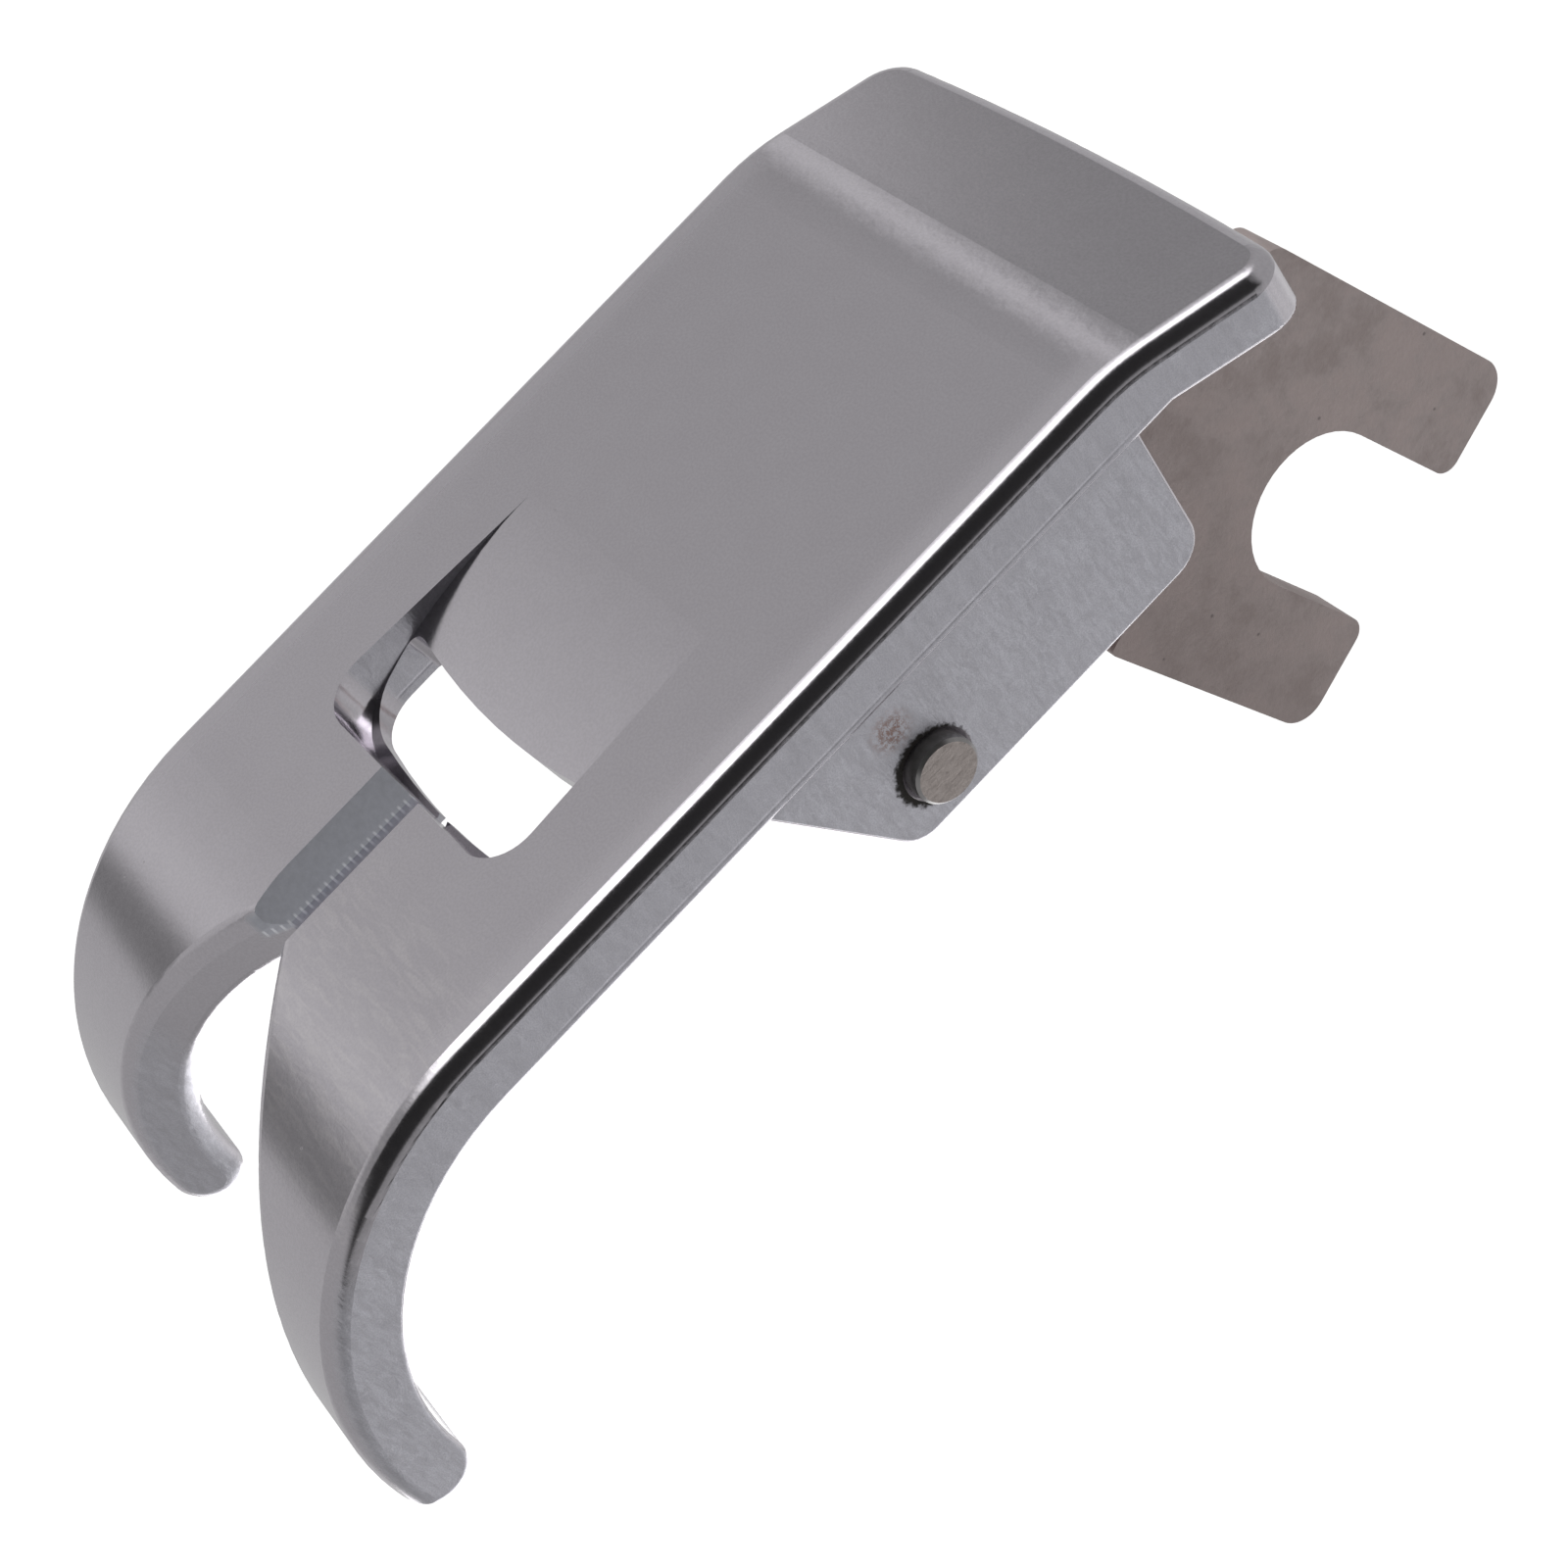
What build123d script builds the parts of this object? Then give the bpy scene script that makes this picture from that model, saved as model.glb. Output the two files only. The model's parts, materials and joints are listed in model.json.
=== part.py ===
from build123d import *
import os
from math import acos, asin, atan2, cos, degrees, hypot, radians, sin, tan

# Hinged sewing-machine presser foot, in millimetres.
# The origin is on the sole's flat face, straight below the hinge pin and half-way across.
# +Z points from the sole up to the shank, +Y from the toes to the heel, +X across the foot.

# How far the cutting shapes run past the metal
overcut = 2.0

# Sole plate. Its lower rim is cut by a rounded block that is a hair bigger than the plate
sole_width = 15.0
half_width = sole_width / 2
sole_thickness = 1.75
lower_edge_radius = 0.55
upper_edge_radius = 0.15
hair = 0.004

# Toes: two bars that curl up about one axis. The long toe is on the -X side
toe_bend_y = -11.2
toe_bend_radius = 8.2
long_toe_deg = 88.0
short_toe_deg = 86.0
toe_gap_apex_half = 0.2
toe_gap_apex_y = -12.14
toe_gap_tip_y = -19.5
long_toe_gap_half = (3.05, 5.0)
short_toe_gap_half = (2.75, 4.75)
toe_inner_edge_radius = 0.45
shortest_toe_edge = 0.1
toe_softening_start = 0.16

# Heel: the plate turns up and ends in a slightly bowed face with rounded edges
heel_bend_y = 7.3
heel_bend_radius = 6.5
heel_rise_deg = 15.5
heel_end_y = 12.7
heel_end_bow = 0.24
heel_top_rise_y = 8.7
heel_top_deg = 17.0
heel_overrun = 0.5
heel_corner_radius = 1.1

# Needle hole, with a hollow ramp that runs into it from behind, and the slot out to the toes
needle_hole_front_y = -8.26
needle_hole_rear_y = -5.95
needle_hole_half = 4.2
needle_hole_bow = 0.42
needle_hole_lean_deg = 4.5
needle_hole_front_corner = 1.2
needle_hole_rear_corner = 0.4
ramp_start_y = -1.5
ramp_start_half = 3.95
ramp_end_half = 4.36
ramp_depth_at_hole = 0.65
slot_bevel_half = 0.9
slot_bevel_depth = 0.65
slot_bevel_end_y = -12.5

# Ears that carry the hinge pin
ear_outer_x = 7.42
ear_inner_x = 5.5
ear_top_z = 5.55
ear_front_foot_y = -3.47
ear_front_deg = 62.0
ear_rear_top_y = 7.52
ear_rear_foot_y = 7.75
ear_corner_radius = 0.9
ear_root_depth = 0.5
ear_edge_radius = 0.12

# Hinge pin
pin_diameter = 1.59
pin_radius = pin_diameter / 2
pin_height = 4.152
pin_stand_out = 0.4
pin_chamfer = 0.07
ear_countersink = 0.1
hinge_clearance = 0.04

# Shank: a steel pressing. u runs back and v runs up from the pin when it stands upright
sheet = 1.4
cheek_outer_x = 5.3
fork_front_u = 3.14
fork_rear_u = 12.82
fork_top_v = 12.42
screw_slot_width = 3.91
screw_slot_u = 8.025
screw_slot_v = 9.0
boss_radius = 2.1
boss_front_u = -0.9
boss_rear_u = 1.6
stop_corner_drop = 1.9
stop_land_u = -0.4
stop_land_drop = 0.16
arm_step_u = 3.0
arm_root_u = 7.5
arm_under = (8.2, 1.5)
arm_small_round = 0.25
arm_round = 0.8
arm_big_round = 1.2
web_bottom_v = 3.2
web_top_v = 5.0
bend_outer_radius = 1.7
bend_inner_radius = 0.3
relief = 0.25
relief_run = 0.1
relief_round = 0.15
cheek_root_u = 10.0
cheek_front_foot_u = 10.3
cheek_rear_foot_round = 0.5
fork_corner_round = 0.8
fork_mouth_round = 0.45
short_cheek_round = 1.2
short_cheek_top_v = 6.3
short_cheek_rear_u = 11.6

# Hinge travel: the shank leans back onto the heel, stands upright in use, and tips forward
lean_back_deg = 21.6
lean_forward_deg = 20.0
stop_gap = 0.02

# Torsion spring on the pin, between the cheeks
wire_diameter = 0.4
wire_radius = wire_diameter / 2
coil_radius = 1.2
coil_turns = 5
coil_pitch = 0.5
bend_swelling = 1.05
leg_gap = 0.03
front_leg_drop_deg = 20.0
front_leg_end_y = -4.3
rear_leg_touch_v = 4.1


def bar_across(face, x_low, x_high):
    """A face drawn in side view (first value along Y, second along Z) made solid from x_low to x_high."""
    return extrude(Pos(x_low, 0, 0) * (Plane.YZ * face), x_high - x_low, dir=(1, 0, 0))


def rounded_polygon(points_and_radii):
    """A flat face with straight sides, whose corners have their own radii."""
    points = [point for point, _ in points_and_radii]
    face = make_face(Polyline(*points, close=True))
    for (x, y), radius in points_and_radii:
        if radius > 0:
            corner = face.vertices().sort_by_distance(Vector(x, y, 0))[0]
            face = fillet(corner, radius)
    return face


def heel_under_z(y):
    """Height of the rising underside behind the heel bend."""
    rise = radians(heel_rise_deg)
    bend_end_y = heel_bend_y + heel_bend_radius * sin(rise)
    bend_end_z = heel_bend_radius * (1 - cos(rise))
    return bend_end_z + (y - bend_end_y) * tan(rise)


def heel_top_z(y):
    """Height of the rising upper face of the heel."""
    return sole_thickness + (y - heel_top_rise_y) * tan(radians(heel_top_deg))


def heel_end_at(x):
    """Where the bowed heel ends at a distance x from the middle."""
    return heel_end_y - heel_end_bow * (x / half_width) ** 2


def sole_side_face(bend_deg):
    """The sole plate in side view, with a toe that curls up by bend_deg. The heel runs on too far."""
    bend_centre = (toe_bend_y, toe_bend_radius)
    top_radius = toe_bend_radius - sole_thickness
    tip_radius = sole_thickness / 2
    tip_turn = 270 - bend_deg
    tip_reach = toe_bend_radius - tip_radius
    tip = (
        toe_bend_y - tip_reach * sin(radians(bend_deg)),
        toe_bend_radius - tip_reach * cos(radians(bend_deg)),
    )
    heel_under = CenterArc((heel_bend_y, heel_bend_radius), heel_bend_radius, 270, heel_rise_deg)
    far_y = heel_end_y + heel_overrun
    edges = [
        CenterArc(tip, tip_radius, tip_turn - 180, 180),
        CenterArc(bend_centre, toe_bend_radius, tip_turn, bend_deg),
        Line((toe_bend_y, 0), (heel_bend_y, 0)),
        heel_under,
        Line(heel_under @ 1, (far_y, heel_under_z(far_y))),
        Line((far_y, heel_under_z(far_y)), (far_y, heel_top_z(far_y))),
        Line((far_y, heel_top_z(far_y)), (heel_top_rise_y, sole_thickness)),
        Line((heel_top_rise_y, sole_thickness), (toe_bend_y, sole_thickness)),
        CenterArc(bend_centre, top_radius, tip_turn, bend_deg),
    ]
    return make_face(edges)


def underside_face():
    """Side view of a tall block whose underside is the sole's, a hair outside it."""
    outer_toe = toe_bend_radius + hair
    outer_heel = heel_bend_radius + hair
    heel_under = CenterArc((heel_bend_y, heel_bend_radius), outer_heel, 270, heel_rise_deg)
    far_y = heel_end_y + heel_overrun
    far_z = heel_under_z(far_y) - hair / cos(radians(heel_rise_deg))
    front_y = toe_bend_y - outer_toe
    top_z = 2 * toe_bend_radius
    edges = [
        CenterArc((toe_bend_y, toe_bend_radius), outer_toe, 180, 90),
        Line((toe_bend_y, -hair), (heel_bend_y, -hair)),
        heel_under,
        Line(heel_under @ 1, (far_y, far_z)),
        Line((far_y, far_z), (far_y, top_z)),
        Line((far_y, top_z), (front_y, top_z)),
        Line((front_y, top_z), (front_y, toe_bend_radius)),
    ]
    return make_face(edges)


def toe_gap():
    """The gap between the toes, which widens from the thread slot along two gentle arcs."""
    edges = []
    far_y = toe_gap_tip_y - overcut
    corners = []
    for side, (middle_half, tip_half) in ((-1, long_toe_gap_half), (1, short_toe_gap_half)):
        apex = (side * toe_gap_apex_half, toe_gap_apex_y)
        middle = (side * middle_half, (toe_gap_apex_y + toe_gap_tip_y) / 2)
        tip = (side * tip_half, toe_gap_tip_y)
        far = (side * tip_half, far_y)
        edges.append(ThreePointArc(apex, middle, tip))
        edges.append(Line(tip, far))
        corners.append(far)
    edges.append(Line(*corners))
    edges.append(Line((-toe_gap_apex_half, toe_gap_apex_y), (toe_gap_apex_half, toe_gap_apex_y)))
    return extrude(Pos(0, 0, -overcut) * make_face(edges), 2 * toe_bend_radius)


def toe_slot():
    """The thread slot from the needle hole to the toes, bevelled on the underside."""
    throat_width = 2 * toe_gap_apex_half
    throat_length = needle_hole_rear_y - toe_gap_apex_y
    throat_y = (needle_hole_rear_y + toe_gap_apex_y) / 2
    throat = Pos(0, throat_y, sole_thickness / 2) * Box(throat_width, throat_length, 2 * overcut)
    bevel_face = Polyline(
        (-slot_bevel_half, -overcut),
        (slot_bevel_half, -overcut),
        (slot_bevel_half, 0),
        (toe_gap_apex_half, slot_bevel_depth),
        (-toe_gap_apex_half, slot_bevel_depth),
        (-slot_bevel_half, 0),
        close=True,
    )
    bevel_length = needle_hole_rear_y - slot_bevel_end_y
    bevel = extrude(Plane.XZ * make_face(bevel_face), bevel_length, dir=(0, -1, 0))
    return throat + Pos(0, needle_hole_rear_y, 0) * bevel


def needle_hole():
    """The wide hole that the needle passes through. Its long sides bow towards the toes and lean back."""
    front_end_y = needle_hole_front_y + needle_hole_bow
    rear_end_y = needle_hole_rear_y + needle_hole_bow
    front_left = (needle_hole_half, front_end_y)
    front_right = (-needle_hole_half, front_end_y)
    rear_left = (needle_hole_half, rear_end_y)
    rear_right = (-needle_hole_half, rear_end_y)
    edges = [
        ThreePointArc(front_left, (0, needle_hole_front_y), front_right),
        Line(front_right, rear_right),
        ThreePointArc(rear_right, (0, needle_hole_rear_y), rear_left),
        Line(rear_left, front_left),
    ]
    outline = make_face(edges)
    corners = outline.vertices().sort_by(Axis.Y)
    outline = fillet(corners[:2], needle_hole_front_corner)
    outline = fillet(outline.vertices().sort_by(Axis.Y)[-2:], needle_hole_rear_corner)
    cutter = extrude(Pos(0, 0, -overcut) * outline, sole_thickness + 2 * overcut)
    front = Pos(0, needle_hole_front_y, 0)
    return front * Rot(-needle_hole_lean_deg, 0, 0) * front.inverse() * cutter


def needle_ramp():
    """The shallow hollow in the underside that leads the stitches back from the needle hole."""
    end_y = needle_hole_front_y
    length_at_hole = ramp_start_y - needle_hole_rear_y
    hollow_radius = length_at_hole**2 / (2 * ramp_depth_at_hole)
    sweep = degrees(asin((ramp_start_y - end_y) / hollow_radius))
    hollow = CenterArc((ramp_start_y, hollow_radius), hollow_radius, 270 - sweep, sweep)
    edges = [
        hollow,
        Line((ramp_start_y, 0), (ramp_start_y, -overcut)),
        Line((ramp_start_y, -overcut), (end_y, -overcut)),
        Line((end_y, -overcut), hollow @ 0),
    ]
    plan = rounded_polygon(
        [
            ((ramp_start_half, ramp_start_y), 0),
            ((ramp_end_half, end_y), needle_hole_front_corner),
            ((-ramp_end_half, end_y), needle_hole_front_corner),
            ((-ramp_start_half, ramp_start_y), 0),
        ]
    )
    cutter = bar_across(make_face(edges), -half_width, half_width)
    return cutter & extrude(Pos(0, 0, -overcut) * plan, 2 * overcut)


def ear(side):
    """One upright ear, flush with the side of the sole. side is -1 or 1."""
    low_z = sole_thickness - ear_root_depth
    lean = tan(radians(ear_front_deg))
    front_low_y = ear_front_foot_y - (sole_thickness - low_z) / lean
    front_top_y = ear_front_foot_y + (ear_top_z - sole_thickness) / lean
    rear_lean = (ear_rear_foot_y - ear_rear_top_y) / (ear_top_z - sole_thickness)
    rear_low_y = ear_rear_foot_y + rear_lean * (sole_thickness - low_z)
    outline = rounded_polygon(
        [
            ((front_low_y, low_z), 0),
            ((front_top_y, ear_top_z), ear_corner_radius),
            ((ear_rear_top_y, ear_top_z), ear_corner_radius),
            ((rear_low_y, low_z), 0),
        ]
    )
    low_x, high_x = sorted((side * ear_inner_x, side * ear_outer_x))
    solid = bar_across(outline, low_x, high_x)
    outer = solid.faces().filter_by(Axis.X).sort_by(Axis.X)[-1 if side > 0 else 0]
    rim = [edge for edge in outer.edges() if edge.center().Z > sole_thickness]
    return fillet(rim, ear_edge_radius)


def cross_pin(radius, length):
    """A round bar on the hinge axis, centred on the foot."""
    return Pos(0, 0, pin_height) * Rot(0, 90, 0) * Cylinder(radius, length)


def heel_plan(plate, proud=0.0):
    """The plate cut to its bowed heel end, with the two upright corners rounded."""
    reach = 4 * toe_bend_radius
    wide = half_width + overcut
    corner_y = heel_end_at(wide) + proud
    edges = [
        Line((-wide, -reach), (wide, -reach)),
        Line((wide, -reach), (wide, corner_y)),
        ThreePointArc((wide, corner_y), (0, heel_end_y + proud), (-wide, corner_y)),
        Line((-wide, corner_y), (-wide, -reach)),
    ]
    plate = plate & extrude(Pos(0, 0, -overcut) * make_face(edges), reach)
    corners = [
        edge
        for edge in plate.edges().filter_by(Axis.Z)
        if edge.center().Y > heel_end_y - 2 * heel_end_bow
    ]
    return fillet(corners, heel_corner_radius)


def plate_rim(plate):
    """The edges along both sides and round the heel end, top and bottom."""
    rim = []
    for edge in plate.edges():
        middle = edge.center()
        along_side = abs(abs(middle.X) - half_width) < 2 * hair
        round_heel = middle.Y > heel_end_at(half_width) - heel_corner_radius
        upright = edge.geom_type == GeomType.LINE and abs((edge @ 1 - edge @ 0).Z) > sole_thickness / 2
        if (along_side or round_heel) and not upright:
            rim.append(edge)
    return rim


def lower_rim(block):
    """The side and heel edges of the block's underside."""
    return [edge for edge in plate_rim(block) if edge.center().Z < toe_bend_radius]


def toe_inner_rim(plate):
    """The edges of the toes that face each other across the gap."""
    rim = []
    for edge in plate.edges():
        middle = edge.center()
        upright = edge.geom_type == GeomType.LINE and abs((edge @ 1 - edge @ 0).Z) > sole_thickness / 2
        across = edge.geom_type == GeomType.LINE and abs((edge @ 1 - edge @ 0).X) > shortest_toe_edge
        inside = abs(middle.X) < half_width - lower_edge_radius - upper_edge_radius
        if middle.Y < toe_gap_apex_y and inside and not upright and not across:
            rim.append(edge)
    return rim


def soften_toes(plate):
    """The plate with the inner edges of both toes rounded, from just past the slot to the tips."""
    reach = 4 * toe_bend_radius
    front = Pos(0, toe_gap_apex_y - toe_softening_start - reach / 2, 0) * Box(reach, reach, reach)
    toes = plate & front
    return (plate - front) + fillet(toe_inner_rim(toes), toe_inner_edge_radius)


def make_sole():
    """The plated sole: plate, curled toes, needle hole, thread slot and two ears."""
    plate = bar_across(sole_side_face(long_toe_deg), -half_width, 0)
    plate = plate + bar_across(sole_side_face(short_toe_deg), 0, half_width)
    plate = heel_plan(plate - toe_gap())
    plate = fillet(plate_rim(plate), upper_edge_radius)
    block = heel_plan(bar_across(underside_face(), -half_width - hair, half_width + hair), hair)
    plate = plate & fillet(lower_rim(block), lower_edge_radius)
    plate = soften_toes(plate)
    body = plate + ear(-1) + ear(1)
    body = body - needle_ramp() - needle_hole() - toe_slot()
    body = body - cross_pin(pin_radius, 2 * half_width)
    rim = [
        edge
        for edge in body.edges().filter_by(GeomType.CIRCLE)
        if abs(abs(edge.center().X) - ear_outer_x) < hair and abs(edge.radius - pin_radius) < hair
    ]
    return chamfer(rim, ear_countersink)


def make_hinge_pin():
    """A plain headless pin, driven through both ears."""
    pin = cross_pin(pin_radius, 2 * (ear_outer_x + pin_stand_out))
    return chamfer(pin.edges().filter_by(GeomType.CIRCLE), pin_chamfer)


def cheek_bottom_v():
    """Height of the cheeks' rear lower edge, which meets the heel when the shank leans back."""
    lean = radians(lean_back_deg)
    round_y = heel_end_at(cheek_outer_x - sheet) - upper_edge_radius
    round_z = heel_top_z(round_y) - upper_edge_radius / cos(radians(heel_top_deg))
    reach = round_y * sin(lean) + (round_z - pin_height) * cos(lean)
    return reach + upper_edge_radius + stop_gap


def stop_corner_u():
    """How far in front of the pin the lower corner of each cheek reaches, to stop the forward tilt."""
    lean = radians(lean_forward_deg)
    room = pin_height - sole_thickness - stop_gap
    return (room - stop_corner_drop * cos(lean)) / sin(lean)


def cheek_arm():
    """Side view of the part of a cheek that reaches from the web forward to the pin."""
    front_u = stop_corner_u()
    step_v = web_bottom_v - relief
    return rounded_polygon(
        [
            ((-front_u, -stop_corner_drop), arm_small_round),
            ((-front_u, 0), arm_round),
            ((boss_front_u, boss_radius), arm_big_round),
            ((boss_rear_u, boss_radius), arm_round),
            ((arm_step_u, step_v), arm_round),
            ((arm_root_u, step_v), 0),
            ((cheek_root_u, cheek_bottom_v()), 0),
            (arm_under, arm_round),
            ((-boss_front_u, -boss_radius), arm_big_round),
            ((stop_land_u, -stop_corner_drop - stop_land_drop), arm_small_round),
        ]
    )


def fork_cheek_face():
    """Side view of the tall cheek, with the open slot for the presser-bar screw."""
    slot_half = screw_slot_width / 2
    notch_u = fork_front_u + bend_outer_radius + relief_run
    plate = rounded_polygon(
        [
            ((fork_rear_u, cheek_bottom_v()), cheek_rear_foot_round),
            ((fork_rear_u, fork_top_v), fork_corner_round),
            ((screw_slot_u + slot_half, fork_top_v), fork_mouth_round),
            ((screw_slot_u + slot_half, screw_slot_v), 0),
            ((screw_slot_u - slot_half, screw_slot_v), 0),
            ((screw_slot_u - slot_half, fork_top_v), fork_mouth_round),
            ((fork_front_u, fork_top_v), fork_corner_round),
            ((fork_front_u, web_top_v + relief), relief_round),
            ((notch_u, web_top_v + relief), relief_run),
            ((notch_u, web_bottom_v - relief), 0),
            ((arm_root_u, web_bottom_v - relief), 0),
            ((cheek_front_foot_u, cheek_bottom_v()), 0),
        ]
    )
    slot_end = Pos(screw_slot_u, screw_slot_v) * Circle(slot_half)
    return plate - slot_end + cheek_arm()


def short_cheek_face():
    """Side view of the other cheek, which stays below the presser-bar screw."""
    notch_u = fork_front_u + bend_outer_radius + relief_run
    plate = rounded_polygon(
        [
            ((short_cheek_rear_u, cheek_bottom_v()), cheek_rear_foot_round),
            ((short_cheek_rear_u, short_cheek_top_v), short_cheek_round),
            ((notch_u, short_cheek_top_v), fork_corner_round),
            ((notch_u, web_bottom_v - relief), 0),
            ((arm_root_u, web_bottom_v - relief), 0),
            ((cheek_front_foot_u, cheek_bottom_v()), 0),
        ]
    )
    return plate + cheek_arm()


def shank_web():
    """The cross wall that joins the cheeks through two bends."""
    legs_u = fork_front_u + bend_outer_radius + sheet / 2
    outer = rounded_polygon(
        [
            ((-cheek_outer_x, fork_front_u), bend_outer_radius),
            ((cheek_outer_x, fork_front_u), bend_outer_radius),
            ((cheek_outer_x, legs_u), 0),
            ((-cheek_outer_x, legs_u), 0),
        ]
    )
    inner_x = cheek_outer_x - sheet
    inner = rounded_polygon(
        [
            ((-inner_x, fork_front_u + sheet), bend_inner_radius),
            ((inner_x, fork_front_u + sheet), bend_inner_radius),
            ((inner_x, legs_u), 0),
            ((-inner_x, legs_u), 0),
        ]
    )
    return extrude(Pos(0, 0, web_bottom_v) * (outer - inner), web_top_v - web_bottom_v)


def in_place(upright):
    """A shank piece drawn upright about the pin, leaned back to its rest pose."""
    return Pos(0, 0, pin_height) * Rot(-lean_back_deg, 0, 0) * upright


def make_shank():
    """The pressed-steel shank: forked cheek, short cheek and the web between them."""
    inner_x = cheek_outer_x - sheet
    upright = bar_across(fork_cheek_face(), -cheek_outer_x, -inner_x)
    upright = upright + bar_across(short_cheek_face(), inner_x, cheek_outer_x)
    upright = upright + shank_web()
    upright = upright - Rot(0, 90, 0) * Cylinder(pin_radius + hinge_clearance, 3 * half_width)
    return in_place(upright)


def around_pin(angle_deg, radius):
    """A point in side view, as (y, z), at an angle from +Y towards +Z round the hinge axis."""
    angle = radians(angle_deg)
    return radius * cos(angle), pin_height + radius * sin(angle)


def straight_wire(start, end):
    """A straight length of the spring's wire, slightly swollen where it bends off at its start."""
    run = Vector(*end) - Vector(*start)
    bottom = (Align.CENTER, Align.CENTER, Align.MIN)
    rod = Plane(origin=start, z_dir=run) * Cylinder(wire_radius, run.length, align=bottom)
    return rod + Pos(*start) * Sphere(bend_swelling * wire_radius)


def make_torsion_spring():
    """Coils round the pin, a front leg that lies on the sole and a rear leg that pushes the web back."""
    front_turn = front_leg_drop_deg - 90
    lean = radians(lean_back_deg)
    touch_u = fork_front_u - wire_radius - leg_gap
    touch_y = touch_u * cos(lean) + rear_leg_touch_v * sin(lean)
    touch_z = pin_height - touch_u * sin(lean) + rear_leg_touch_v * cos(lean)
    touch_turn = degrees(atan2(touch_z - pin_height, touch_y))
    touch_distance = hypot(touch_y, touch_z - pin_height)
    rear_turn = touch_turn - degrees(acos(coil_radius / touch_distance))
    turns = coil_turns + (rear_turn - front_turn) / 360
    coil_length = turns * coil_pitch

    half_length = coil_length / 2
    start_direction = (0, cos(radians(front_turn)), sin(radians(front_turn)))
    coil_plane = Plane(origin=(-half_length, 0, pin_height), x_dir=start_direction, z_dir=(1, 0, 0))
    helix = coil_plane * Helix(pitch=coil_pitch, height=coil_length, radius=coil_radius)
    spring = sweep(Plane(origin=helix @ 0, z_dir=helix % 0) * Circle(wire_radius), path=helix)

    leg_z = sole_thickness + wire_radius + leg_gap
    coil_y, coil_z = around_pin(front_turn, coil_radius)
    bend_y = coil_y - (coil_z - leg_z) / tan(radians(front_leg_drop_deg))
    bend = (-half_length, bend_y, leg_z)
    spring = spring + straight_wire((-half_length, coil_y, coil_z), bend)
    spring = spring + straight_wire(bend, (-half_length, front_leg_end_y, leg_z))
    rear_y, rear_z = around_pin(rear_turn, coil_radius)
    return spring + straight_wire((half_length, rear_y, rear_z), (half_length, touch_y, touch_z))


def main():
    os.makedirs("parts", exist_ok=True)
    export_step(make_sole(), "parts/sole.step")
    export_step(make_hinge_pin(), "parts/hinge_pin.step")
    export_step(make_shank(), "parts/shank.step")
    export_step(make_torsion_spring(), "parts/torsion_spring.step")


if __name__ == "__main__":
    main()
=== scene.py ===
import json
import math

import bpy
from mathutils import Matrix, Vector


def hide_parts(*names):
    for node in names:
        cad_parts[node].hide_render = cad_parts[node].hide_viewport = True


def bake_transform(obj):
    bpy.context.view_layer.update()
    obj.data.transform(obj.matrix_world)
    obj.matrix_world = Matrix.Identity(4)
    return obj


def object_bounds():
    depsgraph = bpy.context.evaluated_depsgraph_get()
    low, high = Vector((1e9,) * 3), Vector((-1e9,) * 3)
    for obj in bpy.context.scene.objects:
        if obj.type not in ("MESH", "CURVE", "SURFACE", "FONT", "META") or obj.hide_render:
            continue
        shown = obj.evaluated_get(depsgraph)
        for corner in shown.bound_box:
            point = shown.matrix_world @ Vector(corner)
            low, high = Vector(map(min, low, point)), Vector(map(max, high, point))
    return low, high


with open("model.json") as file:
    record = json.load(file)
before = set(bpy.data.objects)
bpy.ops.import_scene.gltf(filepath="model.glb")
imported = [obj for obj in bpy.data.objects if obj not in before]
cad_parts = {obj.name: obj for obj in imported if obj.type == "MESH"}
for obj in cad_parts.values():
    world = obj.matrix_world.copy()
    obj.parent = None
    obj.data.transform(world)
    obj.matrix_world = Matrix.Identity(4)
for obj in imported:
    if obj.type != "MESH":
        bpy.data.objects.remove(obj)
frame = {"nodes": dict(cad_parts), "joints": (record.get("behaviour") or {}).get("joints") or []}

MM = 0.001
cad_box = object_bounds()
nodes = frame["nodes"]
scene = bpy.context.scene

hinge_height = frame["joints"][0]["pos_m"][2]


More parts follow.
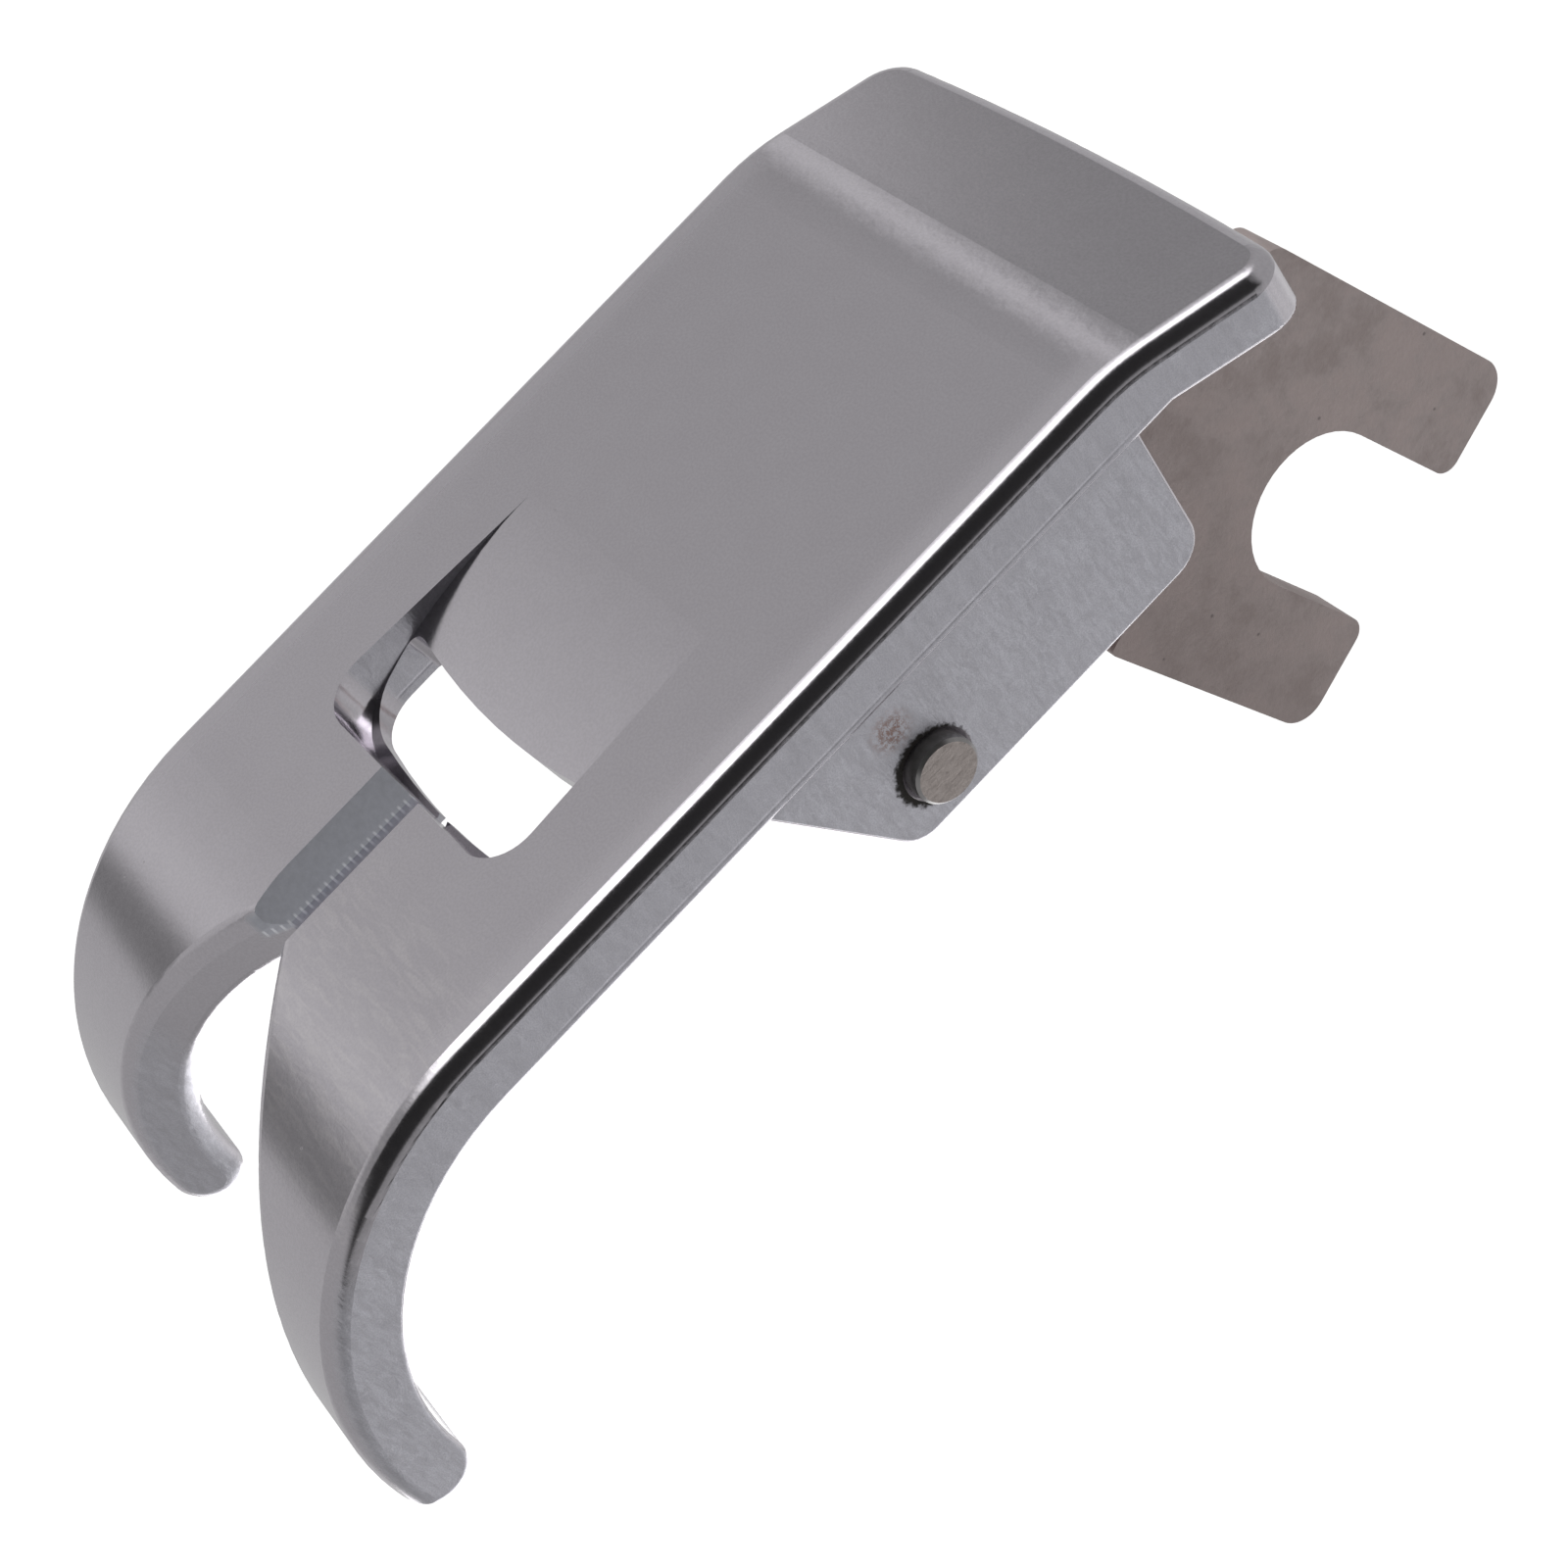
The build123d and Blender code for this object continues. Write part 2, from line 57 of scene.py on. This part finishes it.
class Shader:
    """Adds nodes to one node tree. A value is a number, a tuple or another node's output."""

    def __init__(self, tree):
        self.tree = tree

    def put(self, socket, value):
        if isinstance(value, bpy.types.NodeSocket):
            self.tree.links.new(value, socket)
        else:
            socket.default_value = value

    def add(self, kind, **inputs):
        node = self.tree.nodes.new(kind)
        for name, value in inputs.items():
            self.put(node.inputs[name], value)
        return node

    def math(self, operation, first, second=0.0):
        node = self.tree.nodes.new("ShaderNodeMath")
        node.operation = operation
        self.put(node.inputs[0], first)
        self.put(node.inputs[1], second)
        return node.outputs[0]

    def plus(self, first, second):
        return self.math("ADD", first, second)

    def minus(self, first, second):
        return self.math("SUBTRACT", first, second)

    def times(self, first, second):
        return self.math("MULTIPLY", first, second)

    def unsigned(self, value):
        return self.math("ABSOLUTE", value)

    def from_point(self, y, z, point):
        """Distance in the side view from a point, given as its y and z."""
        y_squared = self.math("POWER", self.minus(y, point[0]), 2.0)
        z_squared = self.math("POWER", self.minus(z, point[1]), 2.0)
        return self.math("SQRT", self.plus(y_squared, z_squared))

    def step(self, value, low, high):
        """0 below low, 1 above high, smooth in between. With low above high it falls instead."""
        node = self.tree.nodes.new("ShaderNodeMapRange")
        node.interpolation_type = "SMOOTHSTEP"
        self.put(node.inputs["Value"], value)
        rising = low <= high
        self.put(node.inputs["From Min"], low if rising else high)
        self.put(node.inputs["From Max"], high if rising else low)
        self.put(node.inputs["To Min"], 0.0 if rising else 1.0)
        self.put(node.inputs["To Max"], 1.0 if rising else 0.0)
        return node.outputs["Result"]

    def band(self, value, low, high, soft):
        """1 between low and high, 0 outside, with edges soft wide."""
        return self.times(
            self.step(value, low - soft / 2, low + soft / 2),
            self.step(value, high + soft / 2, high - soft / 2),
        )

    def span(self, value, low, high):
        """Rescales 0..1 to low..high."""
        node = self.tree.nodes.new("ShaderNodeMapRange")
        self.put(node.inputs["Value"], value)
        self.put(node.inputs["To Min"], low)
        self.put(node.inputs["To Max"], high)
        return node.outputs["Result"]

    def blend(self, share, first, second):
        """A number between first and second."""
        node = self.tree.nodes.new("ShaderNodeMix")
        node.data_type = "FLOAT"
        self.put(node.inputs[0], share)
        self.put(node.inputs[2], first)
        self.put(node.inputs[3], second)
        return node.outputs[0]

    def colour(self, share, first, second):
        """A colour between first and second."""
        node = self.tree.nodes.new("ShaderNodeMix")
        node.data_type = "RGBA"
        self.put(node.inputs[0], share)
        self.put(node.inputs[6], first)
        self.put(node.inputs[7], second)
        return node.outputs[2]

    def tones(self, value, limits, stops, top=2.5):
        """A brightness that passes through the stops, each a value and its brightness up to top."""
        low, high = limits
        share = self.math("DIVIDE", self.minus(value, low), high - low)
        node = self.add("ShaderNodeValToRGB", Fac=share)
        ramp = node.color_ramp.elements
        while len(ramp) > 1:
            ramp.remove(ramp[1])
        ramp[0].position = 0.0
        for index, (spot, tone) in enumerate(stops):
            stop = ramp[0] if index == 0 else ramp.new((spot - low) / (high - low))
            grey = tone / top
            stop.color = (grey, grey, grey, 1)
        return self.times(node.outputs["Color"], top)

    def place(self, stretch=(1, 1, 1), turn=(0, 0, 0)):
        """The point on the object in millimetres, stretched and turned (in degrees)."""
        spot = self.add("ShaderNodeTexCoord").outputs["Object"]
        node = self.tree.nodes.new("ShaderNodeMapping")
        self.put(node.inputs["Vector"], spot)
        node.inputs["Rotation"].default_value = [math.radians(a) for a in turn]
        node.inputs["Scale"].default_value = [s / MM for s in stretch]
        return node.outputs["Vector"]

    def split(self, vector):
        node = self.tree.nodes.new("ShaderNodeSeparateXYZ")
        self.put(node.inputs[0], vector)
        return node.outputs[0], node.outputs[1], node.outputs[2]

    def facing(self):
        """How far the surface faces each of the object's own axes."""
        return self.split(self.add("ShaderNodeTexCoord").outputs["Normal"])

    def noise(self, vector, per_mm, detail=2.0, roughness=0.5, distortion=0.0):
        node = self.add(
            "ShaderNodeTexNoise",
            Vector=vector,
            Scale=per_mm,
            Detail=detail,
            Roughness=roughness,
            Distortion=distortion,
        )
        return node.outputs["Fac"]

    def cells(self, vector, per_mm):
        """Distance from the nearest of many scattered points."""
        return self.add("ShaderNodeTexVoronoi", Vector=vector, Scale=per_mm).outputs["Distance"]

    def bump(self, height, deep_mm, before=None):
        """A relief deep_mm high where height goes from 0 to 1."""
        node = self.add("ShaderNodeBump", Height=height, Distance=deep_mm * MM, Strength=1.0)
        if before is not None:
            self.put(node.inputs["Normal"], before)
        return node.outputs["Normal"]


def new_material(name):
    material = bpy.data.materials.new(name)
    material.use_nodes = True
    tree = material.node_tree
    return material, Shader(tree), tree.nodes["Principled BSDF"]


def dress(obj, material):
    obj.data.materials.clear()
    obj.data.materials.append(material)


# ---------------------------------------------------------------- materials
# Places on the sole, in millimetres. A pair is where a change starts and where it ends.

toe_sides_y = (-15.5, -17.0)
brushed_y = (-15.6, -9.8)
brushed_x = (0.2, -1.8)
bevel_half_width = 0.95
bevel_y = (-12.75, -8.0)
bevel_top_z = (0.9, 0.7)
# Painted highlight: the height of a near-white line along the bevel's crease.
crease_highlight_z = (0.56, 0.62)
mill_marks_per_mm = 5.2
rim_x = (5.9, 6.95)
ear_foot_z = (1.6, 2.2)
parting_z = (1.47, 1.53)
parting_y = (-9.5, 7.6)
heel_bend_y = (7.6, 9.0)
# Painted shade: the dark ring in the gap round the hinge pin, set a little off-centre.
pin_shade_centre = (-0.1, hinge_height / MM - 0.07)
pin_shade_edge = (1.04, 0.9)
rust_centre = (-0.3, 2.5)
rust_edge = (0.7, 0.15)


def plated_sole():
    """Bright plate: polished below, cast grain on the sides, buffed on top, painted shade round the
    pin, a painted highlight along the bevel's crease.
    """
    material, s, out = new_material("plated_sole")
    here = s.place()
    x, y, z = s.split(here)
    facing_x, _, facing_z = s.facing()
    sideways = s.unsigned(facing_x)
    side = s.blend(
        s.step(y, *toe_sides_y), s.step(sideways, 0.955, 0.995), s.step(sideways, 0.55, 0.99)
    )
    upper = s.step(facing_z, 0.55, 0.9)
    lower = s.step(facing_z, -0.3, -0.7)

    # Patterns
    wave = s.noise(here, 0.9, detail=1.0)
    grain = s.noise(here, 7.0, detail=4.0, roughness=0.62)
    fine = s.noise(here, 26.0, detail=3.0, roughness=0.6)
    speckle = s.step(s.noise(here, 15.0, detail=2.0), 0.35, 0.65)
    pit = s.step(s.cells(here, 1.5), 0.07, 0.03)
    pit = s.times(pit, s.step(s.noise(here, 0.45), 0.52, 0.64))

    along_strokes = s.place(stretch=(1.4, 7.0, 7.0), turn=(0, 0, 24))
    brushed = s.noise(along_strokes, 0.8, detail=3.0, roughness=0.55, distortion=0.8)
    brushed_area = s.times(s.band(y, *brushed_y, 2.6), s.step(x, *brushed_x))
    brushed_area = s.times(brushed_area, lower)

    along_streaks = s.place(stretch=(1.0, 4.6, 0.7), turn=(-24, 0, 0))
    streak = s.noise(along_streaks, 1.0, detail=3.0, roughness=0.55)
    along_ripples = s.place(stretch=(1.0, 3.0, 1.2), turn=(18, 0, 0))
    ripple = s.noise(along_ripples, 1.6, detail=2.0, distortion=0.8)
    along_marks = s.place(stretch=(1.0, 7.0, 2.0), turn=(30, 0, 0))
    chatter = s.step(s.noise(along_marks, 1.0, detail=3.0, distortion=0.9), 0.38, 0.66)

    # Areas
    bevel = s.times(s.band(x, -bevel_half_width, bevel_half_width, 0.04), s.band(y, *bevel_y, 0.2))
    bevel = s.times(bevel, s.step(sideways, 0.25, 0.5))
    bevel = s.times(bevel, s.step(z, *bevel_top_z))
    milled = s.unsigned(s.minus(s.math("FRACT", s.times(y, mill_marks_per_mm)), 0.5))
    # Painted highlight along the bevel's crease, broken into mill-mark stripes.
    crease_highlight = s.times(s.times(bevel, s.step(z, *crease_highlight_z)), s.step(milled, 0.28, 0.42))
    rim = s.times(s.step(s.unsigned(x), *rim_x), s.step(facing_z, -0.985, -0.999))
    # Painted shade: a ring round the hinge pin on the side faces, with a ragged edge.
    pin_shade_reach = s.plus(s.from_point(y, z, pin_shade_centre), s.times(s.minus(grain, 0.5), 0.35))
    pin_gap_shade = s.times(s.step(pin_shade_reach, *pin_shade_edge), side)
    rust = s.step(s.from_point(y, z, rust_centre), *rust_edge)
    rust = s.times(s.times(rust, s.step(s.plus(fine, grain), 0.92, 1.08)), side)

    # Roughness
    polished = s.span(grain, 0.13, 0.21)
    as_cast = s.span(grain, 0.34, 0.48)
    buffed = s.span(grain, 0.24, 0.34)
    rough = s.blend(upper, s.blend(side, polished, as_cast), buffed)
    rough = s.blend(s.times(brushed_area, 0.6), rough, s.span(brushed, 0.14, 0.22))
    rough = s.blend(bevel, rough, 0.55)
    rough = s.blend(s.times(rim, 0.9), rough, 0.34)
    # Inside the painted shade round the pin the surface is rougher.
    s.put(out.inputs["Roughness"], s.blend(pin_gap_shade, rough, 0.7))

    # Colour
    cast = s.colour(streak, (0.52, 0.51, 0.55, 1), (0.72, 0.71, 0.77, 1))
    on_ear = s.times(s.times(chatter, s.step(z, *ear_foot_z)), 0.34)
    cast = s.colour(on_ear, cast, (0.84, 0.84, 0.91, 1))
    dull_cast = s.colour(0.35, cast, (0.42, 0.42, 0.46, 1))
    cast = s.colour(s.step(fine, 0.40, 0.60), dull_cast, cast)
    strokes = s.times(brushed_area, s.step(brushed, 0.40, 0.70))
    bevel_tint = s.colour(grain, (0.52, 0.53, 0.58, 1), (0.72, 0.73, 0.79, 1))

    tint = s.colour(s.span(wave, 0.2, 0.8), (0.62, 0.59, 0.63, 1), (0.67, 0.645, 0.685, 1))
    tint = s.colour(strokes, tint, (0.71, 0.68, 0.71, 1))
    tint = s.colour(s.times(speckle, 0.16), tint, (0.42, 0.40, 0.43, 1))
    tint = s.colour(side, tint, cast)
    tint = s.colour(bevel, tint, bevel_tint)
    # Painted highlight: near-white base colour on the crease.
    tint = s.colour(crease_highlight, tint, (0.95, 0.96, 1.0, 1))
    tint = s.colour(s.times(pit, 0.2), tint, (0.35, 0.33, 0.34, 1))
    # Painted shade round the hinge pin: near-black colour.
    tint = s.colour(pin_gap_shade, tint, (0.035, 0.03, 0.026, 1))
    tint = s.colour(s.times(rust, 0.8), tint, (0.30, 0.17, 0.13, 1))
    s.put(out.inputs["Base Color"], tint)
    # Inside the painted shade round the pin the surface is hardly metallic.
    s.put(out.inputs["Metallic"], s.blend(pin_gap_shade, 1.0, 0.2))

    # Relief
    parting = s.times(s.band(z, *parting_z, 0.07), s.times(side, s.band(y, *parting_y, 1.6)))
    parting = s.times(parting, s.span(s.noise(here, 0.8), 0.1, 0.8))
    heel_bend = s.times(s.band(y, *heel_bend_y, 0.8), lower)
    normal = s.bump(wave, 0.0022)
    normal = s.bump(s.times(s.noise(here, 2.4, detail=2.0), heel_bend), 0.007, normal)
    normal = s.bump(grain, 0.0014, normal)
    normal = s.bump(s.times(fine, side), 0.006, normal)
    normal = s.bump(s.times(s.plus(streak, ripple), side), 0.02, normal)
    normal = s.bump(s.times(brushed, brushed_area), 0.0018, normal)
    normal = s.bump(s.plus(parting, s.times(pit, 0.15)), -0.02, normal)
    s.put(out.inputs["Normal"], normal)
    return material


def shank_steel():
    """Pressed steel with a dull skin: mottled, with a few pits, darker towards the hinge."""
    darker_y = (12.5, 5.5)
    material, s, out = new_material("shank_steel")
    here = s.place()
    _, y, _ = s.split(here)
    mottle = s.noise(here, 0.7, detail=5.0, roughness=0.66)
    grain = s.noise(here, 9.0, detail=4.0, roughness=0.65)
    rolled = s.noise(s.place(stretch=(1.0, 0.5, 5.0), turn=(-30, 0, 0)), 1.2, detail=3.0)
    pit = s.step(s.cells(here, 1.1), 0.07, 0.03)
    tint = s.colour(s.step(mottle, 0.34, 0.66), (0.50, 0.42, 0.405, 1), (0.68, 0.60, 0.59, 1))
    tint = s.colour(s.times(rolled, 0.35), tint, (0.60, 0.55, 0.55, 1))
    tint = s.colour(s.times(s.step(mottle, 0.46, 0.62), 0.22), tint, (0.50, 0.36, 0.33, 1))
    tint = s.colour(s.times(s.step(y, *darker_y), 0.4), tint, (0.34, 0.275, 0.265, 1))
    tint = s.colour(s.times(pit, 0.5), tint, (0.1, 0.09, 0.085, 1))
    s.put(out.inputs["Base Color"], tint)
    s.put(out.inputs["Metallic"], 0.75)
    s.put(out.inputs["Roughness"], s.span(grain, 0.5, 0.68))
    s.put(out.inputs["Normal"], s.bump(mottle, 0.02, s.bump(grain, 0.012)))
    return material


def pin_steel():
    """Sheared pin: rough brown-grey ends, smoother along its side."""
    material, s, out = new_material("pin_steel")
    here = s.place()
    end = s.step(s.unsigned(s.facing()[0]), 0.8, 0.95)
    grain = s.noise(here, 6.0, detail=5.0, roughness=0.7)
    tear = s.noise(s.place(stretch=(1.0, 2.0, 7.0), turn=(35, 0, 0)), 1.0, detail=3.0)
    end_tint = s.colour(grain, (0.30, 0.255, 0.24, 1), (0.75, 0.68, 0.65, 1))
    side_tint = s.colour(grain, (0.28, 0.27, 0.27, 1), (0.5, 0.49, 0.49, 1))
    rough = s.blend(end, s.span(grain, 0.26, 0.36), s.span(grain, 0.42, 0.6))
    s.put(out.inputs["Base Color"], s.colour(end, side_tint, end_tint))
    s.put(out.inputs["Metallic"], 0.85)
    s.put(out.inputs["Roughness"], rough)
    s.put(out.inputs["Normal"], s.bump(s.times(s.plus(grain, tear), end), 0.03))
    return material


def spring_steel():
    """Drawn wire: fine lines round the coil, a slight brown heat tint."""
    material, s, out = new_material("spring_steel")
    grain = s.noise(s.place(), 8.0, detail=3.0)
    drawn = s.noise(s.place(stretch=(14.0, 1.2, 1.2)), 1.0, detail=2.0)
    tint = s.colour(grain, (0.36, 0.34, 0.32, 1), (0.55, 0.53, 0.50, 1))
    s.put(out.inputs["Base Color"], tint)
    s.put(out.inputs["Metallic"], 1.0)
    s.put(out.inputs["Roughness"], s.span(drawn, 0.2, 0.38))
    s.put(out.inputs["Normal"], s.bump(drawn, 0.004))
    return material


dress(nodes["sole"], plated_sole())
dress(nodes["shank"], shank_steel())
dress(nodes["hinge_pin"], pin_steel())

# ---------------------------------------------------------------- torsion spring
# Millimetres and radians. The shank's web is given in the shank's own upright axes.

sole_top = 1.75
web_front = 3.14
web_touch = 4.1
lean_back = math.radians(21.6)

wire_radius = 0.2
wire_sides = 14
wire_end_share = 0.85
wire_chamfer_share = 0.12
coil_radius = 1.2
coil_pitch = 0.5
coil_turns = 5
coil_steps_per_turn = 40
leg_gap = 0.03
front_leg_end_y = -4.3
front_leg_slope = 20
front_leg_bend_radius = 0.3
front_leg_bend_steps = 6


def rounded_path(points, radius, steps):
    """The path through points with each corner turned into a short curve."""
    path = [points[0]]
    for before, corner, after in zip(points, points[1:], points[2:]):
        arm_in = (before - corner).normalized() * radius
        arm_out = (after - corner).normalized() * radius
        for k in range(steps + 1):
            t = k / steps
            first = corner + arm_in * (1 - t)
            second = corner + arm_out * t
            path.append(first.lerp(second, t))
    path.append(points[-1])
    return path


def wire_mesh(name, path, radius, sides):
    """A round wire along a path, with its cut ends slightly chamfered."""
    first = (path[1] - path[0]).normalized()
    last = (path[-1] - path[-2]).normalized()
    end_radius = radius * wire_end_share
    cut = wire_chamfer_share * radius
    rings = [(path[0], end_radius), (path[0] + first * cut, radius)]
    rings += [(spot, radius) for spot in path[1:-1]]
    rings += [(path[-1] - last * cut, radius), (path[-1], end_radius)]
    verts = []
    normal = first.orthogonal().normalized()
    for k, (spot, size) in enumerate(rings):
        ahead = rings[min(k + 1, len(rings) - 1)][0] - rings[max(k - 1, 0)][0]
        ahead.normalize()
        normal = (normal - ahead * normal.dot(ahead)).normalized()
        other = ahead.cross(normal)
        for j in range(sides):
            a = math.tau * j / sides
            verts.append((spot + (normal * math.cos(a) + other * math.sin(a)) * size) * MM)

    def vert(ring, side):
        return ring * sides + side % sides

    faces = [
        (vert(k, j), vert(k, j + 1), vert(k + 1, j + 1), vert(k + 1, j))
        for k in range(len(rings) - 1)
        for j in range(sides)
    ]
    faces.append(tuple(reversed(range(sides))))
    faces.append(tuple(vert(len(rings) - 1, j) for j in range(sides)))
    mesh = bpy.data.meshes.new(name)
    mesh.from_pydata(verts, [], faces)
    for polygon in mesh.polygons:
        polygon.use_smooth = len(polygon.vertices) == 4
    wire = bpy.data.objects.new(name, mesh)
    scene.collection.objects.link(wire)
    return wire


def torsion_spring():
    """Coil on the hinge pin. The front leg rests on the sole, the rear leg on the shank's web."""
    height = hinge_height / MM
    front_turn = math.radians(front_leg_slope - 90)
    touch_u = web_front - wire_radius - leg_gap
    touch_y = touch_u * math.cos(lean_back) + web_touch * math.sin(lean_back)
    touch_z = web_touch * math.cos(lean_back) - touch_u * math.sin(lean_back)
    touch_reach = math.hypot(touch_y, touch_z)
    rear_turn = math.atan2(touch_z, touch_y) - math.acos(coil_radius / touch_reach)
    sweep = coil_turns * math.tau + rear_turn - front_turn
    half = sweep / math.tau * coil_pitch / 2
    leg_z = sole_top + wire_radius + leg_gap

    def on_coil(angle, x):
        return Vector((x, coil_radius * math.cos(angle), height + coil_radius * math.sin(angle)))

    start = on_coil(front_turn, -half)
    bend_y = start.y - (start.z - leg_z) / math.tan(math.radians(front_leg_slope))
    leg = [Vector((-half, front_leg_end_y, leg_z)), Vector((-half, bend_y, leg_z)), start]
    foot = rounded_path(leg, front_leg_bend_radius, front_leg_bend_steps)
    steps = coil_steps_per_turn * coil_turns
    coil = [
        on_coil(front_turn + sweep * k / steps, half * (2 * k / steps - 1))
        for k in range(steps + 1)
    ]
    path = foot[:-1] + coil + [Vector((half, touch_y, height + touch_z))]
    spring = wire_mesh("spring_wire", path, wire_radius, wire_sides)
    dress(spring, spring_steel())
    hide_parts("torsion_spring")
    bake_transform(spring)


torsion_spring()

# ---------------------------------------------------------------- studio

view_right = Vector((-0.5230676, 0.6903376, 0.4998342))
view_up = Vector((0.4475032, 0.7215692, -0.5282791))
view_forward = Vector((0.7253559, 0.0526483, 0.6863577))
camera_place = Vector((-54.6949383, -6.1034289, -43.4260999)) * MM
camera_focal = 72.93418
camera_sensor = 36.0
camera_near = 1 * MM
camera_far = 10.0

camera_data = bpy.data.cameras.new("camera")
camera_data.sensor_width = camera_sensor
camera_data.lens = camera_focal
camera_data.clip_start = camera_near
camera_data.clip_end = camera_far
camera_data.dof.use_dof = False
camera = bpy.data.objects.new("camera", camera_data)
turn = Matrix((view_right, view_up, -view_forward)).transposed()
camera.matrix_world = Matrix.Translation(camera_place) @ turn.to_4x4()
scene.collection.objects.link(camera)
scene.camera = camera

scene.view_settings.view_transform = "Standard"

# Brightness of the studio against the angle round the Y axis in degrees: -90 is straight down.
ring_tones = [
    (-180, 0.10),
    (-172, 0.03),
    (-101, 0.02),
    (-94, 2.4),
    (-76, 2.0),
    (-66, 0.80),
    (-55, 0.50),
    (-30, 0.45),
    (-5, 0.50),
    (45, 0.52),
    (75, 0.85),
    (110, 0.72),
    (137, 0.50),
    (158, 0.44),
    (172, 0.30),
]
# Brightness against y, from the toes' end at -1 to the heel's end at 1.
along_tones = [
    (-1.0, 0.50),
    (-0.50, 0.52),
    (-0.44, 0.60),
    (-0.36, 0.62),
    (-0.25, 0.55),
    (-0.10, 0.50),
    (0.0, 0.47),
    (0.1, 0.42),
    (0.2, 0.41),
    (0.32, 0.35),
    (0.37, 0.52),
    (0.43, 0.72),
    (0.46, 0.50),
    (0.49, 0.36),
    (0.53, 0.29),
    (0.8, 0.36),
    (1.0, 0.45),
]
# Where the second table takes over, and the panels laid over both: angles, y and brightness.
along_angles, along_soft = (-58, -8), 14
strip_angles, strip_soft, strip_end_y, strip_end_tone = (-100, -62), 6, (-0.08, -0.42), 0.30
shade_angles, shade_soft, shade_y, shade_tone = (-29, -12), 6, (-0.43, -0.51), 0.20
toes_angle, toes_y, toes_tone = (55, 75), (-0.35, -0.55), 0.33
ends_y, ends_tone = (0.66, 0.85), 0.42


def studio_world():
    """Soft tones round the object, and white wherever the camera looks past it."""
    world = bpy.data.worlds.new("studio")
    world.use_nodes = True
    s = Shader(world.node_tree)
    back = world.node_tree.nodes["Background"]
    x, y, z = s.split(s.add("ShaderNodeTexCoord").outputs["Generated"])
    angle = s.times(s.math("ARCTAN2", z, x), 180 / math.pi)
    ring = s.tones(angle, (-180, 180), ring_tones)
    along = s.tones(y, (-1, 1), along_tones)
    tone = s.blend(s.band(angle, *along_angles, along_soft), ring, along)
    strip = s.band(angle, *strip_angles, strip_soft)
    tone = s.blend(s.times(strip, s.step(y, *strip_end_y)), tone, strip_end_tone)
    shade = s.times(s.band(angle, *shade_angles, shade_soft), s.step(y, *shade_y))
    tone = s.blend(shade, tone, shade_tone)
    toes = s.times(s.step(angle, *toes_angle), s.step(y, *toes_y))
    tone = s.blend(toes, tone, toes_tone)
    tone = s.blend(s.step(s.unsigned(y), *ends_y), tone, ends_tone)
    seen = s.add("ShaderNodeLightPath").outputs["Is Camera Ray"]
    s.put(back.inputs["Color"], s.colour(seen, tone, (1.0, 1.0, 1.0, 1)))
    s.put(back.inputs["Strength"], 1.0)
    scene.world = world


studio_world()


def softbox(name, direction, distance, size, brightness):
    """A soft panel that faces the object. direction points from the object to the panel."""
    direction = Vector(direction).normalized()
    panel = bpy.data.lights.new(name, "AREA")
    panel.shape = "RECTANGLE"
    panel.size, panel.size_y = size
    panel.energy = brightness * math.pi * size[0] * size[1]
    light = bpy.data.objects.new(name, panel)
    light.rotation_mode = "QUATERNION"
    light.rotation_quaternion = direction.to_track_quat("Z", "Y")
    light.location = direction * distance
    light.visible_camera = False
    scene.collection.objects.link(light)


softbox("top_softbox", (0.3, -0.2, 1.0), distance=0.6, size=(0.5, 0.5), brightness=1.4)
softbox("key_softbox", (0.16, -0.05, -1.0), distance=0.6, size=(0.12, 0.4), brightness=1.2)


def pale_floor():
    """A pale disc behind the object, square to the line of sight and not mirrored in the metal."""
    radius = 130 * MM
    distance = 150 * MM
    sides = 96
    glow = 0.78
    centre = sum(cad_box, Vector()) / 2 + view_forward * distance
    mesh = bpy.data.meshes.new("floor")
    rim = [
        centre + (view_right * math.cos(a) + view_up * math.sin(a)) * radius
        for a in (math.tau * k / sides for k in range(sides))
    ]
    mesh.from_pydata(rim, [], [list(range(sides))])
    floor = bpy.data.objects.new("floor", mesh)
    scene.collection.objects.link(floor)
    material, s, out = new_material("pale_floor")
    cloud = s.noise(s.place(), 0.02, detail=2.0)
    s.put(out.inputs["Base Color"], s.colour(cloud, (0.86, 0.86, 0.86, 1), (0.9, 0.9, 0.9, 1)))
    s.put(out.inputs["Roughness"], 0.9)
    s.put(out.inputs["Emission Color"], (1, 1, 1, 1))
    s.put(out.inputs["Emission Strength"], glow)
    dress(floor, material)
    floor.visible_glossy = False


pale_floor()
